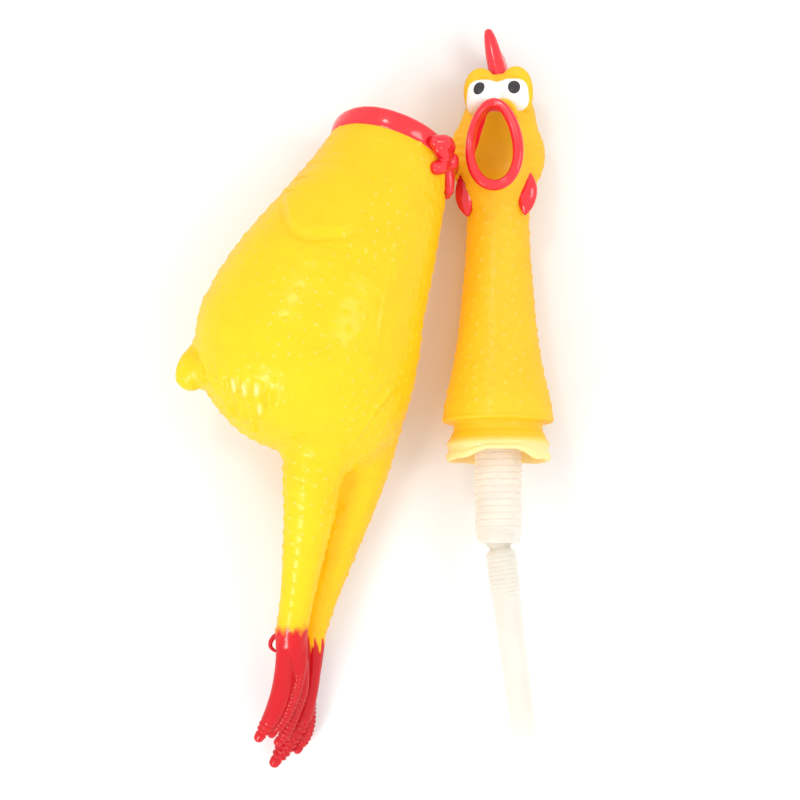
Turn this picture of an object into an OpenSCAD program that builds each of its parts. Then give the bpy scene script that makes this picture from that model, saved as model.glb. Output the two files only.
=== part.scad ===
// Rubber chicken, pulled apart: a soft hollow body lies on its side, and the head and neck,
// with the squawker that screams still plugged into it, lie beside it, face up.
// Millimetres. +Z is up from the surface that both lie on, +Y runs from the feet to the head end,
// and the origin is on that surface, in the middle of the whole set.

/* [Moulding] */
// Thickness of the soft body skin
skin = 2.4; // [1.8:0.1:3.0]
// Thickness of the neck and head skin
head_skin = 2.2; // [1.8:0.1:2.6]
// Gap left where two mouldings only touch
seam_gap = 0.08; // [0.05:0.01:0.15]

/* [Collar] */
// Outer radius of the red collar band round the body's opening
collar_r = 24.8; // [24.4:0.1:25.4]
// Height of the collar band along the neck
collar_h = 6.6; // [6:0.2:7.4]
// Radius of the bore that the neck's groove snaps into
collar_bore_r = 17.6; // [17.5:0.1:18.2]
// Thickness of the lip round that bore
collar_lip_h = 3.2; // [2.6:0.1:3.4]
// Turn of the collar's axis away from +Y, towards the head
collar_yaw = 20; // [18:1:22]
// Dip of the collar's axis towards the table
collar_pitch = 12; // [10:1:13]

/* [Neck] */
// Dip of the neck's axis towards the table, at the head end
neck_tilt = 6; // [5:0.5:7]
// Turn of the face about the neck's axis
face_turn = -4; // [-6:1:0]
// Radius at the bottom of the snap groove
groove_r = 17.4; // [17:0.1:17.4]
// Width of the snap groove
groove_w = 3.6; // [3.4:0.1:4]
// Radius of the plug's flange, at its open end
flange_r = 20.7; // [20:0.1:21]
// Length of the plug's flange
flange_h = 10.6; // [9:0.2:11.4]

/* [Squawker] */
// Radius over the barrel's ribs
barrel_r = 9.2; // [8.8:0.1:9.4]
// Spacing of the barrel's ribs
rib_pitch = 2.6; // [2.4:0.1:3]
// Length of the barrel below the neck's groove
barrel_drop = 45; // [43:1:47]
// Length of the tail tube below the ball that holds it
tail_len = 78; // [74:1:80]
// Radius of the ball at the top of the tail tube
ball_r = 5.8; // [5.6:0.1:5.9]
// Lean of the tail tube away from the body
tail_lean = 7; // [4:1:8]

/* [Hidden] */
$fn = 48;
yellow = "#fbe13c";
warm_yellow = "#fdd63a";
red = "#ec1f35";
milky = "#f4efe6";

// Middle of the collar, of the neck's groove, and the shift that centres the whole set.
centring = [-1.13, 0.22, 0.43];
collar_at = [11.0, 97.6, 24.9];
groove_at = [52.4, -11.6, 22.1];
bow_turn = -24;          // how far round the collar the bow sits, from the chest towards the top
fit_gap = 0.05;         // running clearance of the barrel in the neck, on the radius
ring_sides = 36;        // points round each section of the body
ring_steps = 4;         // sections between two stations

// Sections of the torso, from the collar to the rump:
// [x, y, z, half width, half depth, yaw, pitch]
torso_stations = [
    [9.86, 94.46, 25.61, 24.0, 24.0, collar_yaw, collar_pitch],
    [3.6, 79.2, 28.2, 28.0, 27.4, 20, 11],
    [-5.8, 57.5, 33.6, 35.2, 32.8, 20, 9],
    [-16.2, 34.3, 38.2, 40.0, 37.8, 16, 5],
    [-22.7, 16.4, 40.2, 42.2, 39.8, 12, 2],
    [-20.5, -0.6, 38.6, 37.4, 37.2, 6, 0],
    [-15.9, -12.1, 36.0, 29.0, 30.0, 0, 0],
    [-14.4, -18.3, 35.0, 21.0, 22.0, 0, 0],
    [-13.7, -22.0, 34.0, 9.0, 10.0, 0, 0],
];

// Each limb and toe is a chain of balls: [x, y, z, radius]
right_leg_line = [[-13.5, 6, 42, 16.6], [-14.4, -11, 41, 14.6], [-18.8, -27.3, 39.5, 11.8],
                  [-20.5, -42.8, 37, 10.0], [-23.0, -58.5, 33, 8.2], [-26.0, -78.3, 28, 6.4],
                  [-28.0, -96, 23, 5.9]];
left_leg_line = [[0.2, 10, 26, 17.4], [-0.2, -11, 24, 14.4], [-2.8, -28, 21.6, 12.0],
                 [-6.8, -43.8, 18.8, 10.2], [-11.6, -59.8, 15.6, 8.3], [-17.7, -79.9, 11.8, 6.3],
                 [-21.0, -96, 9.0, 5.4]];
tail_line = [[-46, 20, 39.6, 10.5], [-55, 16.5, 39.6, 8.6], [-62.4, 13.2, 39.6, 6.6], [-67, 9.4, 39.6, 4.9]];

// The plane across both ankles, where the red of the feet begins.
ankle_y = [-90.4, -91.6];

right_shank = [[-27.4, -88, 24.8, 5.9], [-30, -103, 22.4, 5.6], [-32.2, -112, 21.2, 6.2]];
right_toes = [
    [[-32.4, -110, 22.6, 5.0], [-36.0, -120, 23.4, 4.6], [-39.0, -128.0, 23.8, 3.8], [-42.0, -133.0, 23.4, 2.6]],
    [[-31.6, -111, 20.4, 4.8], [-33.6, -122, 19.4, 4.2], [-36.2, -130.0, 18.8, 3.4], [-38.6, -134.4, 18.2, 2.5]],
    [[-30.0, -110, 18.4, 4.4], [-29.4, -121, 16.2, 3.9], [-31.2, -130.0, 14.8, 3.2], [-34.0, -135.4, 13.8, 2.4]],
];
right_spur = [[-31.0, -98, 21.4, 2.6], [-35.2, -99.6, 20.4, 2.0], [-36.4, -102.4, 19.8, 1.5]];

left_shank = [[-20.0, -89, 10.2, 5.4], [-21.4, -104, 8.6, 5.2], [-21.8, -114, 8.0, 5.6]];
left_toes = [
    [[-22.0, -112, 8.8, 4.6], [-22.8, -124, 8.6, 4.2], [-26.0, -134.6, 8.0, 4.0], [-31.4, -141.4, 7.2, 3.6],
     [-35.8, -144.6, 6.4, 2.9]],
    [[-20.6, -112, 7.4, 4.6], [-19.6, -123, 6.8, 4.1], [-20.6, -132.4, 6.2, 3.5], [-24.0, -138.6, 5.4, 2.6]],
    [[-23.6, -112, 7.0, 4.6], [-26.2, -122, 5.8, 4.0], [-29.0, -130.0, 5.0, 3.3], [-32.4, -135.0, 4.4, 2.4]],
];
left_spur = [[-24.0, -101, 7.6, 2.6], [-27.6, -103.4, 6.2, 1.9], [-28.6, -106.0, 5.2, 1.4]];

// Outline of the wings, seen from above. It cuts one flap on each flank.
wing_outline = [[-24, 80], [-27.6, 70], [-27.8, 63.4], [-23.2, 59.4], [-12.4, 58], [-4, 61],
                [4.6, 68.4], [9, 80], [2, 88], [-10, 88]];
wing_rise = 1.7;        // how far the wings stand proud of the body

// Outline of the neck above the groove: [radius, height above the groove's middle]
neck_line = [[21.7, 3.0], [20.6, 8], [19.0, 15.4], [17.4, 22.5], [15.9, 31], [14.7, 40], [13.8, 50],
             [12.9, 60], [12.2, 70], [11.8, 78]];
neck_top = 78;

mouth_at = [0, -24.5, 108.4];    // middle of the open beak's rim
mouth_half = [9.1, 15.6];        // half width and half height of the rim's centre line
lip_r = 2.1;                     // radius of the rim's bead
eye_at = [6.5, -12.3, 128.3];    // middle of the left eye's ball
eye_r = 7.5;                     // radius of each eye's ball
barrel_top = 9;                  // the barrel's top, above the groove's middle
barrel_bore_r = 7.2;             // inside radius of the barrel
ball_z = 2.6 - barrel_drop;      // middle of the tail tube's ball, below the groove's middle
reed_face = 0.6;                 // how far the reed's flat seat stands from the tube's axis
reed_lift = 0.35;                // how far the tongue stands off that seat

// ---- Curves and shapes that repeat ----

// A smooth curve through a, b, c and d, from b to c as t goes from 0 to 1
function between(a, b, c, d, t) =
    0.5 * (2 * b + (c - a) * t + (2 * a - 5 * b + 4 * c - d) * t * t + (3 * b - a - 3 * c + d) * t * t * t);

// The rows of p with steps - 1 smooth rows added between each two
function smooth(p, steps) = [
    for (i = [0 : len(p) - 2], s = [0 : steps - 1])
        between(p[max(i - 1, 0)], p[i], p[i + 1], p[min(i + 2, len(p) - 1)], s / steps),
    p[len(p) - 1]
];

// The points round one section of the body, drawn in by inset
function section(s, inset) = [
    for (k = [0 : ring_sides - 1])
        let (u = 360 * k / ring_sides,
             across = [cos(s[5]), -sin(s[5]), 0],
             up = [sin(s[5]) * sin(s[6]), cos(s[5]) * sin(s[6]), cos(s[6])])
        [s[0], s[1], s[2]] + (s[3] - inset) * cos(u) * across + (s[4] - inset) * sin(u) * up
];

// A closed skin over rings that have n points each
module skin_over(rings) {
    n = len(rings[0]);
    last = len(rings) - 1;
    polyhedron(
        points = [for (r = rings) each r],
        faces = concat(
            [[for (k = [0 : n - 1]) k]],
            [for (i = [0 : last - 1], k = [0 : n - 1])
                [i * n + k, (i + 1) * n + k, (i + 1) * n + (k + 1) % n, i * n + (k + 1) % n]],
            [[for (k = [n - 1 : -1 : 0]) last * n + k]]),
        convexity = 4);
}

// A chain of balls, each joined to the next, drawn in by inset
module chain(line, inset = 0, sides = 20) {
    for (i = [0 : len(line) - 2])
        hull()
            for (p = [line[i], line[i + 1]])
                translate([p[0], p[1], p[2]]) sphere(r = p[3] - inset, $fn = sides);
}

// The same shape on the other side of the head as well
module both_sides() {
    children();
    mirror([1, 0, 0]) children();
}

// ---- The three frames that pieces are drawn in ----

// Middle of the collar, +Z out of the body's opening, +X towards the chest
module at_collar() {
    translate(collar_at) rotate([-90 - collar_pitch, 0, -collar_yaw]) children();
}

// Middle of the neck's groove, +Z up the neck, -Y out of the face
module at_neck() {
    translate(groove_at) rotate([-90 - neck_tilt, 0, 0]) children();
}

// Middle of the tail tube's ball, +Z back up towards the barrel
module at_tail() {
    at_neck() translate([0, 0, ball_z]) rotate([0, -tail_lean, 0]) children();
}

module centred() {
    translate(centring) children();
}

// ---- Body ----

module torso(inset) {
    skin_over([for (s = smooth(torso_stations, ring_steps)) section(s, inset)]);
}

module wings() {
    intersection() {
        torso(-wing_rise);
        translate([0, 0, -2]) linear_extrude(100) offset(r = 3) offset(delta = -3) polygon(wing_outline);
    }
}

module limbs(inset) {
    chain(right_leg_line, inset);
    chain(left_leg_line, inset);
    chain(tail_line, inset);
}

// The torso's hollow, pushed out through the collar's plane so that it leaves the mouth open
module hollow() {
    past = [sin(collar_yaw) * cos(collar_pitch), cos(collar_yaw) * cos(collar_pitch), -sin(collar_pitch)];
    translate(0.9 * past) torso(skin);
    limbs(skin);
}

// Everything past an ankle's plane
module below(y) {
    translate([-80, y - 40, -5]) cube([100, 40, 60]);
}

module leg_ends() {
    intersection() {
        below(ankle_y[0]);
        chain([[-26.0, -78.3, 28, 9], [-28.0, -96, 23, 9]]);
    }
    intersection() {
        below(ankle_y[1]);
        chain([[-17.7, -79.9, 11.8, 8.4], [-21.0, -96, 9.0, 8.4]]);
    }
}

module body_shell() {
    color(yellow) centred() difference() {
        union() {
            torso(0);
            limbs(0);
            wings();
        }
        hollow();
        leg_ends();
    }
}

module collar_rim() {
    half = collar_h / 2;
    lip = collar_lip_h / 2;
    inside_r = collar_r - 1.2 - skin;
    color(red) centred() at_collar() rotate_extrude($fn = 96)
        polygon([[collar_bore_r, -lip], [inside_r, -lip], [inside_r, -half], [collar_r - 0.7, -half],
                 [collar_r, 0.7 - half], [collar_r, half - 1.6], [collar_r - 1.6, half],
                 [collar_bore_r + 2.4, half], [collar_bore_r, lip]]);
}

// The bow's loops, knot and ribbon ends, on the side of the collar
module bow_ribbons() {
    chain([[24.4, -2.5, 0, 2.7], [25.0, -7.5, 1.2, 3.9], [23.2, -12.0, 0.8, 3.6]], 0, 16);
    chain([[24.6, -2.0, -2.5, 2.3], [25.2, -6.4, -5.6, 3.1], [24.6, -8.0, -7.4, 2.6]], 0, 16);
    chain([[24.4, 2.5, 0, 2.6], [24.4, 7.5, -1.2, 3.3], [22.6, 12.0, -1.4, 3.2]], 0, 16);
    chain([[24.6, 2.0, -3.0, 2.4], [25.2, 4.8, -8.6, 2.3], [25.6, 6.8, -13.0, 1.9]], 0, 16);
    translate([24.4, 0, -0.6]) sphere(r = 3.8, $fn = 20);
}

module collar_bow() {
    color(red) centred() difference() {
        at_collar() rotate([0, 0, bow_turn]) bow_ribbons();
        at_collar() translate([0, 0, -collar_h / 2 - seam_gap])
            cylinder(r = collar_r + seam_gap, h = collar_h + 2 * seam_gap, $fn = 96);
        at_collar() translate([0, 0, -14]) cylinder(r = 20, h = 30);
        torso(-seam_gap);
    }
}

// A foot: the shank below the ankle, three long toes with ribs across them, and the spur behind
module foot(shank, toes, spur, ankle) {
    color(red) centred() difference() {
        union() {
            chain(shank, 0, 16);
            for (toe = toes) chain(toe, 0, 14);
            chain(spur, 0, 12);
        }
        translate([-80, ankle + seam_gap, -5]) cube([100, 40, 60]);
    }
}

module right_foot() {
    foot(right_shank, right_toes, right_spur, ankle_y[0] - seam_gap);
}

module left_foot() {
    foot(left_shank, left_toes, left_spur, ankle_y[1] - seam_gap);
}

// ---- Head and neck ----

// The neck: a flared skin with the snap groove and the open plug below it, and a web that grips the barrel
module neck_shell() {
    half = groove_w / 2;
    bore = barrel_r + fit_gap;
    inner = [for (p = neck_line) [p[0] - head_skin, p[1]]];
    color(warm_yellow) centred() at_neck() rotate_extrude($fn = 96)
        polygon(concat(
            [[bore, -half - 1.6], [flange_r - 2.8, -half - 1.6], [flange_r - 2.4, -half - flange_h],
             [flange_r - 0.5, -half - flange_h], [flange_r, -half - flange_h + 0.8],
             [flange_r - 0.9, -half - 3.8], [flange_r - 0.9, -half], [groove_r, -half], [groove_r, half],
             [neck_line[0][0] - 0.6, half]],
            neck_line,
            [for (i = [len(inner) - 1 : -1 : 1]) inner[i]],
            [[inner[1][0], half + 3], [bore, half + 3]]));
}

// The head's outside, drawn in by inset: skull, cheeks, throat, and a hood over each eye
module head_solid(inset) {
    hull() {
        translate([0, -4.2, 108]) scale([17.8, 13, 19] - inset * [1, 1, 1]) sphere(r = 1, $fn = 36);
        translate([0, -3.6, 124]) scale([13.6, 11.2, 12] - inset * [1, 1, 1]) sphere(r = 1, $fn = 28);
        translate([0, 0, neck_top]) cylinder(r = neck_line[9][0] - inset, h = 0.4, $fn = 36);
        translate([0, -1.2, 90]) scale([12.4, 11.6, 10] - inset * [1, 1, 1]) sphere(r = 1, $fn = 28);
    }
    hull() {
        beak_ring(1.2 - inset / 2, -1.4);
        translate([0, -8, 108]) scale([12.6, 4, 17.4] - inset * [1, 0, 1]) sphere(r = 1, $fn = 28);
    }
    both_sides() hull() {
        translate([7.4, -8.2, 131]) sphere(r = 9.0 - inset, $fn = 28);
        translate([5.4, -1, 124]) sphere(r = 9 - inset, $fn = 20);
    }
}

// A point on the rim of the open beak, an egg with its narrow end up
function beak_point(u, grow, y) = [
    (mouth_half[0] + grow) * cos(u) * (1 - 0.2 * sin(u)),
    mouth_at[1] + y + 1.6 * sin(u) * sin(u),
    mouth_at[2] + (mouth_half[1] + grow) * sin(u)
];

// A thin slice of the open beak, this much wider than the rim's centre line
module beak_ring(grow, y) {
    skin_over([for (d = [y + 0.6, y]) [for (k = [0 : 31]) beak_point(11.25 * k, grow, d)]]);
}

// The open mouth: a funnel that narrows from the rim to the throat
module mouth_hole() {
    hull() {
        beak_ring(0, -4);
        beak_ring(0, -1.6);
    }
    hull() {
        beak_ring(-1.2, -3.4);
        beak_ring(-1.6, 3);
    }
    hull() {
        beak_ring(-1.6, 3);
        translate([0, -2, 104]) scale([8, 5, 11]) sphere(r = 1, $fn = 24);
    }
}

// The hollow inside the head, open to the neck below
module head_hollow() {
    hull() {
        translate([0, -1.6, 105]) scale([13.6, 9.6, 13]) sphere(r = 1, $fn = 32);
        translate([0, 0, neck_top - 1]) cylinder(r = neck_line[9][0] - head_skin, h = 1, $fn = 36);
    }
}

module head_shell() {
    color(warm_yellow) centred() at_neck() rotate([0, 0, face_turn]) difference() {
        head_solid(0);
        head_hollow();
        mouth_hole();
        lip_bead(lip_r + seam_gap);
        eye_ball(1, seam_gap);
        eye_ball(-1, seam_gap);
    }
}

// The bead round the mouth, a tube along the rim's centre line
module lip_bead(r) {
    count = 32;
    rings = [for (k = [0 : count - 1])
        let (u = 360 * k / count,
             p = beak_point(u, 0, 0),
             ahead = beak_point(u + 2, 0, 0) - beak_point(u - 2, 0, 0),
             out = cross(ahead / norm(ahead), [0, 1, 0]),
             side = cross(ahead / norm(ahead), out))
        [for (v = [0 : 30 : 330]) p + r * cos(v) * out + r * sin(v) * side]];
    n = 12;
    polyhedron(
        points = [for (ring = rings) each ring],
        faces = [for (i = [0 : count - 1], k = [0 : n - 1])
            [i * n + k, ((i + 1) % count) * n + k, ((i + 1) % count) * n + (k + 1) % n, i * n + (k + 1) % n]],
        convexity = 4);
}

module beak_lip() {
    color(red) centred() at_neck() rotate([0, 0, face_turn]) lip_bead(lip_r);
}

// side is 1 for the chicken's left, -1 for its right
module eye_ball(side, grow) {
    translate([side * eye_at[0], eye_at[1], eye_at[2]]) sphere(r = eye_r + grow, $fn = 40);
}

module pupil_disc(side) {
    translate([side * 6.4, -20.4, 130.4]) rotate([84, 0, 0]) scale([1, 1.16, 1])
        cylinder(r = 2.2, h = 6, center = true, $fn = 36);
}

// The right eye's ball, from its outer side to the flat where it meets the left one
module half_eye() {
    last = acos((seam_gap - eye_at[0]) / eye_r);
    skin_over([for (i = [0 : 15]) let (a = 4 + (last - 4) * i / 15)
        [for (u = [0 : 11.25 : 350]) [
            -eye_at[0] - eye_r * cos(a),
            eye_at[1] + eye_r * sin(a) * cos(u),
            eye_at[2] + eye_r * sin(a) * sin(u)]]]);
}

module right_eye() {
    color("white") centred() at_neck() rotate([0, 0, face_turn]) half_eye();
}

module left_eye() {
    color("white") centred() at_neck() rotate([0, 0, face_turn]) mirror([1, 0, 0]) half_eye();
}

// A thin oval of paint on the front of the ball
module pupil(side) {
    color("#2b2626") centred() at_neck() rotate([0, 0, face_turn]) difference() {
        intersection() {
            pupil_disc(side);
            eye_ball(side, 0.4);
        }
        eye_ball(side, 0.02);
    }
}

module right_pupil() {
    pupil(-1);
}

module left_pupil() {
    pupil(1);
}

// The leaf-shaped wattle on the side of the throat, pointed above and below
module wattle_leaf(side) {
    scale([side, 1, 1]) hull() {
        translate([14.2, -9.0, 100.6]) sphere(r = 1.0, $fn = 12);
        translate([12.0, -7.6, 92.6]) sphere(r = 4.4, $fn = 20);
        translate([13.0, -4.6, 90.6]) sphere(r = 3.4, $fn = 16);
        translate([10.6, -6.8, 83.0]) sphere(r = 1.0, $fn = 12);
    }
}

module wattle(side) {
    color(red) centred() at_neck() rotate([0, 0, face_turn]) difference() {
        wattle_leaf(side);
        head_solid(-seam_gap);
    }
}

module right_wattle() {
    wattle(-1);
}

module left_wattle() {
    wattle(1);
}

// The comb: a row of four soft points from the brow to the back of the head
module comb_points() {
    tips = [[-2.6, -8.4, 157, 1.6], [-1.8, -4.0, 155.4, 1.7], [-1.2, 0.4, 150.6, 1.7], [-0.6, 3.8, 143.4, 1.5]];
    for (i = [0 : 3]) hull() {
        translate([tips[i][0], tips[i][1], tips[i][2]]) sphere(r = tips[i][3], $fn = 14);
        translate([0, -7 + 3.2 * i, 138 - 2.2 * i]) sphere(r = 3.5, $fn = 18);
    }
}

module comb() {
    color(red) centred() at_neck() rotate([0, 0, face_turn]) difference() {
        comb_points();
        head_solid(-seam_gap);
    }
}

// ---- Squawker ----

// The ribbed barrel: a plain end that sits in the neck, ribs below, and a ball socket at the bottom
module squawker_barrel() {
    valley = barrel_r - 0.7;
    ribs = floor((barrel_drop - 7) / rib_pitch);
    rib = rib_pitch / 4;
    color(milky) centred() at_neck() difference() {
        rotate_extrude($fn = 96) polygon(concat(
            [[0.2, -barrel_drop], [barrel_r - 1.6, -barrel_drop], [valley, 0.9 - barrel_drop]],
            [for (i = [ribs - 1 : -1 : 0]) let (z = -6 - rib_pitch * i)
                each [[valley, z - 2.0 * rib], [barrel_r, z - 1.2 * rib], [barrel_r, z + 1.2 * rib],
                      [valley, z + 2.0 * rib]]],
            [[barrel_r, -3.2], [barrel_r, barrel_top], [0.2, barrel_top]]));
        translate([0, 0, ball_z + ball_r * 0.5]) cylinder(r = barrel_bore_r, h = 80, $fn = 96);
        translate([0, 0, ball_z]) sphere(r = ball_r + fit_gap, $fn = 64);
        translate([0, 0, ball_z]) mirror([0, 0, 1]) cylinder(r1 = 2.4, r2 = 8.4, h = 6, $fn = 64);
        translate([0, 0, ball_z - 4]) cylinder(r = 5.6, h = 4, center = true, $fn = 64);
    }
}

// The cap that closes the barrel's top, with the hole that the scream leaves by
module barrel_cap() {
    color(milky) centred() at_neck() rotate_extrude($fn = 96)
        polygon([[3.6, barrel_top - 3.4], [barrel_bore_r - 0.02, barrel_top - 3.4],
                 [barrel_bore_r - 0.02, barrel_top + 0.02], [barrel_r, barrel_top + 0.02],
                 [barrel_r, barrel_top + 1.2], [barrel_r - 0.8, barrel_top + 1.8], [3.6, barrel_top + 1.8]]);
}

// The tail tube: a ball that swings in the barrel's socket, fine rings, and a long taper
module tail_tube() {
    rings = 10;
    pitch = 1.7;
    color(milky) centred() at_tail() difference() {
        union() {
            sphere(r = ball_r, $fn = 64);
            translate([0, 0, -5.4]) cylinder(r = 4.0, h = 5, $fn = 64);
            rotate_extrude($fn = 64) polygon(concat(
                [[0.1, -tail_len], [4.3, -tail_len], [4.8, 0.5 - tail_len], [5.5, -6.6 - pitch * rings]],
                [for (i = [rings - 1 : -1 : 0]) let (z = -6.6 - pitch * i)
                    each [[5.5, z - 0.75 * pitch], [5.95, z - 0.6 * pitch], [5.95, z - 0.1 * pitch], [5.5, z]]],
                [[4.6, -5.0], [0.1, -5.0]]));
        }
        translate([0, 0, 1 - tail_len]) cylinder(r1 = 3.3, r2 = 3.9, h = tail_len, $fn = 64);
        translate([0, 0, -tail_len - 1]) cylinder(r = 3.3, h = 3, $fn = 64);
        translate([0, 0, -8]) cylinder(r = 3.9, h = 20, $fn = 64);
    }
}

// The reed's seat: a plug in the top of the tube, with a flat face and a trough under the tongue
module reed_seat() {
    color("#e9d9a6") centred() at_tail() difference() {
        translate([0, 0, -7]) cylinder(r = 3.88, h = 19.6, $fn = 64);
        translate([-5, reed_face, -7.5]) cube([10, 6, 22]);
        translate([0, reed_face, -8]) cylinder(r = 1.7, h = 20, $fn = 48);
    }
}

// The clip that clamps the tongue's root to the seat, with the clamped root as part of it
module reed_clip() {
    color("#d8d2c4") centred() at_tail() translate([0, 0, 9.6]) difference() {
        cylinder(r = 3.86, h = 3, $fn = 64);
        translate([-5, reed_face + 0.02 - 12, -1]) cube([10, 12, 6]);
    }
}

// The tongue: a thin springy strip that starts at the clip and is free to beat on the seat
module reed_tongue() {
    color("#c9c4b8") centred() at_tail() translate([-2.2, reed_face + reed_lift, -6])
        cube([4.4, 0.35, 15.3]);
}

body_shell();
collar_rim();
collar_bow();
right_foot();
left_foot();
neck_shell();
head_shell();
comb();
beak_lip();
right_wattle();
left_wattle();
right_eye();
left_eye();
right_pupil();
left_pupil();
squawker_barrel();
barrel_cap();
tail_tube();
reed_seat();
reed_clip();
reed_tongue();
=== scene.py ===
"""Looks of the pulled-apart rubber chicken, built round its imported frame.

Shapes are worked out in millimetres, in the drawing's own axes, and are scaled to metres at the end.
Soft shapes are distance fields: each is negative inside, and is turned into a mesh by skin().
"""
import math

import bpy
import numpy as np
import openvdb
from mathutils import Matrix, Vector
from mathutils.kdtree import KDTree


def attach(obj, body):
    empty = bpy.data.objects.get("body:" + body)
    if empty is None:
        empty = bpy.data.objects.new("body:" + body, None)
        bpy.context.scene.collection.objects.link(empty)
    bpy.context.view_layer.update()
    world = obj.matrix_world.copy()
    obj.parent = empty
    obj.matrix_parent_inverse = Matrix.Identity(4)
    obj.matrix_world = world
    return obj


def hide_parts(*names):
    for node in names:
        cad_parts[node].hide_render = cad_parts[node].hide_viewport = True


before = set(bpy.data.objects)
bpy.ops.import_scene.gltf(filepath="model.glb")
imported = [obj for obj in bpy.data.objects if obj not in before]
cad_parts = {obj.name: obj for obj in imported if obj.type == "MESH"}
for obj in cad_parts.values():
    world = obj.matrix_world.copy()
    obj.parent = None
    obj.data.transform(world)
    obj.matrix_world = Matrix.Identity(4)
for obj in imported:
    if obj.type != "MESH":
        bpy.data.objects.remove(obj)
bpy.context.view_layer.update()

MM = 0.001
CENTRING = np.array([-1.13, 0.22, 0.43])  # from the drawing's axes to the middle of the whole set
FLOOR = 0.02 - CENTRING[2]  # the lowest that a skin may reach, in the drawing's axes


# ---------------------------------------------------------------- numbers that shapes share

COLLAR_AT = np.array([11.0, 97.6, 24.9])
COLLAR_YAW = math.radians(20)
COLLAR_PITCH = math.radians(12)
COLLAR_R = 24.8
BOW_TURN = math.radians(-24)
GROOVE_AT = np.array([52.4, -11.6, 22.1])
NECK_TILT = math.radians(6)
FACE_TURN = math.radians(-4)
ANKLE = {"right": -89.6, "left": -97.6}  # where the yellow gives way to the red
SEAM = {"right": -90.4, "left": -91.8}   # where each foot's skin takes over from the leg's

# Balls along the body: x, y, z, radius, and height as a share of that radius
TRUNK = [
    (10.8, 95.6, 25.2, 24.0, 1.0), (4.2, 79.2, 28.0, 27.6, 0.97), (-5.7, 57.5, 33.6, 33.6, 0.97),
    (-15.2, 38.0, 37.8, 39.0, 0.96), (-21.8, 22.5, 39.4, 42.2, 0.93),
]
HIP = [(-14, 22, 38, 33, 0.98), (-7.5, 3, 36, 24.5, 1.0), (-8.5, -8, 34, 19.5, 1.0)]
RUMP = [(-36, 16, 39, 26.5, 1.0), (-30.5, 8.0, 38, 26, 1.0), (-25.5, 2.5, 37, 23, 1.0)]
RIGHT_LEG = [
    (-12.0, 4, 43, 17.6, 1), (-14.6, -10.5, 41.6, 15.0, 1), (-18.9, -27.3, 39.8, 11.9, 1),
    (-20.6, -42.8, 37, 10.0, 1), (-23.0, -58.5, 33, 8.2, 1), (-26.0, -78.3, 28, 6.5, 1),
    (-28.2, -92, 24.2, 6.2, 1), (-27.8, -99, 22.8, 5.2, 1), (-27.6, -106, 21.8, 4.2, 1),
]
LEFT_LEG = [
    (0.2, 8, 26, 17.8, 1), (-0.2, -10.5, 24, 14.6, 1), (-2.8, -28, 21.6, 12.1, 1),
    (-6.8, -43.8, 18.8, 10.2, 1), (-11.6, -59.8, 15.6, 8.4, 1), (-17.7, -79.9, 11.8, 6.5, 1),
    (-20.2, -92, 9.6, 5.2, 1), (-20.2, -99, 8.8, 4.2, 1), (-20.6, -106, 8.4, 3.6, 1),
]
TAIL = [
    (-46, 19.4, 39.6, 11.8, 1), (-55.4, 16.2, 39.6, 9.6, 1), (-62.8, 12.2, 39.6, 7.8, 1),
    (-65.8, 8.9, 39.6, 6.0, 1),
]

RIGHT_TOES = [
    [(-30.4, -87.7, 24.4, 4.6, 1), (-30.6, -95.1, 24.4, 3.9, 1), (-30.8, -103.3, 24.6, 3.8, 1),
     (-32.1, -113.1, 25.2, 3.9, 1), (-34.7, -121.3, 25.4, 3.7, 1), (-38.2, -127.9, 24.8, 2.9, 1),
     (-41.0, -132.3, 24.0, 2.0, 1)],
    [(-26.6, -87.8, 23.4, 4.2, 1), (-24.9, -95.3, 23.2, 2.8, 1), (-24.9, -103.6, 23.2, 2.5, 1),
     (-26.1, -111.8, 23.4, 2.3, 1), (-28.4, -119.2, 23.6, 2.2, 1), (-31.6, -125.9, 23.0, 2.1, 1),
     (-36.2, -131.3, 22.2, 1.7, 1)],
    [(-26.2, -96.0, 21.0, 3.6, 1), (-24.5, -107.3, 19.8, 2.9, 1), (-24.8, -114.9, 18.8, 2.7, 1),
     (-26.9, -121.7, 18.0, 2.6, 1), (-29.5, -128.5, 17.0, 2.5, 1), (-32.0, -133.2, 16.2, 2.3, 1),
     (-34.1, -135.7, 15.6, 1.8, 1)],
]
LEFT_TOES = [
    [(-20.4, -90.2, 10.2, 4.4, 1), (-20.1, -101.2, 9.8, 3.4, 1), (-20.7, -109.6, 9.6, 3.1, 1),
     (-22.1, -118.0, 9.4, 3.2, 1), (-24.2, -125.6, 9.2, 3.5, 1), (-27.7, -132.4, 8.8, 3.6, 1),
     (-31.7, -138.6, 8.2, 3.4, 1), (-36.0, -145.2, 7.2, 2.2, 1)],
    [(-19.6, -97.0, 8.4, 3.6, 1), (-20.9, -109.9, 7.6, 2.7, 1), (-21.7, -116.7, 7.2, 2.3, 1),
     (-21.9, -123.5, 6.8, 2.3, 1), (-22.1, -129.5, 6.4, 2.3, 1), (-23.8, -135.4, 6.0, 2.2, 1),
     (-27.0, -140.4, 5.6, 1.8, 1)],
    [(-22.0, -100.0, 8.4, 3.4, 1), (-22.4, -108.1, 8.4, 3.2, 1), (-24.5, -116.5, 8.2, 2.8, 1),
     (-26.2, -124.2, 7.8, 2.6, 1), (-27.8, -131.0, 7.2, 2.4, 1), (-29.8, -136.3, 6.6, 1.9, 1)],
]
RIGHT_SPUR = [(-33.0, -92.4, 22.4, 1.6, 1), (-35.2, -93.3, 22.2, 1.0, 1), (-36.5, -95.1, 22.0, 0.9, 1),
              (-36.6, -97.3, 21.8, 0.8, 1), (-34.9, -98.9, 21.8, 0.6, 1)]
LEFT_SPUR = [(-23.6, -101.0, 7.6, 2.6, 1), (-27.0, -103.2, 6.2, 1.9, 1), (-28.2, -105.8, 5.2, 1.4, 1)]
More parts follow.
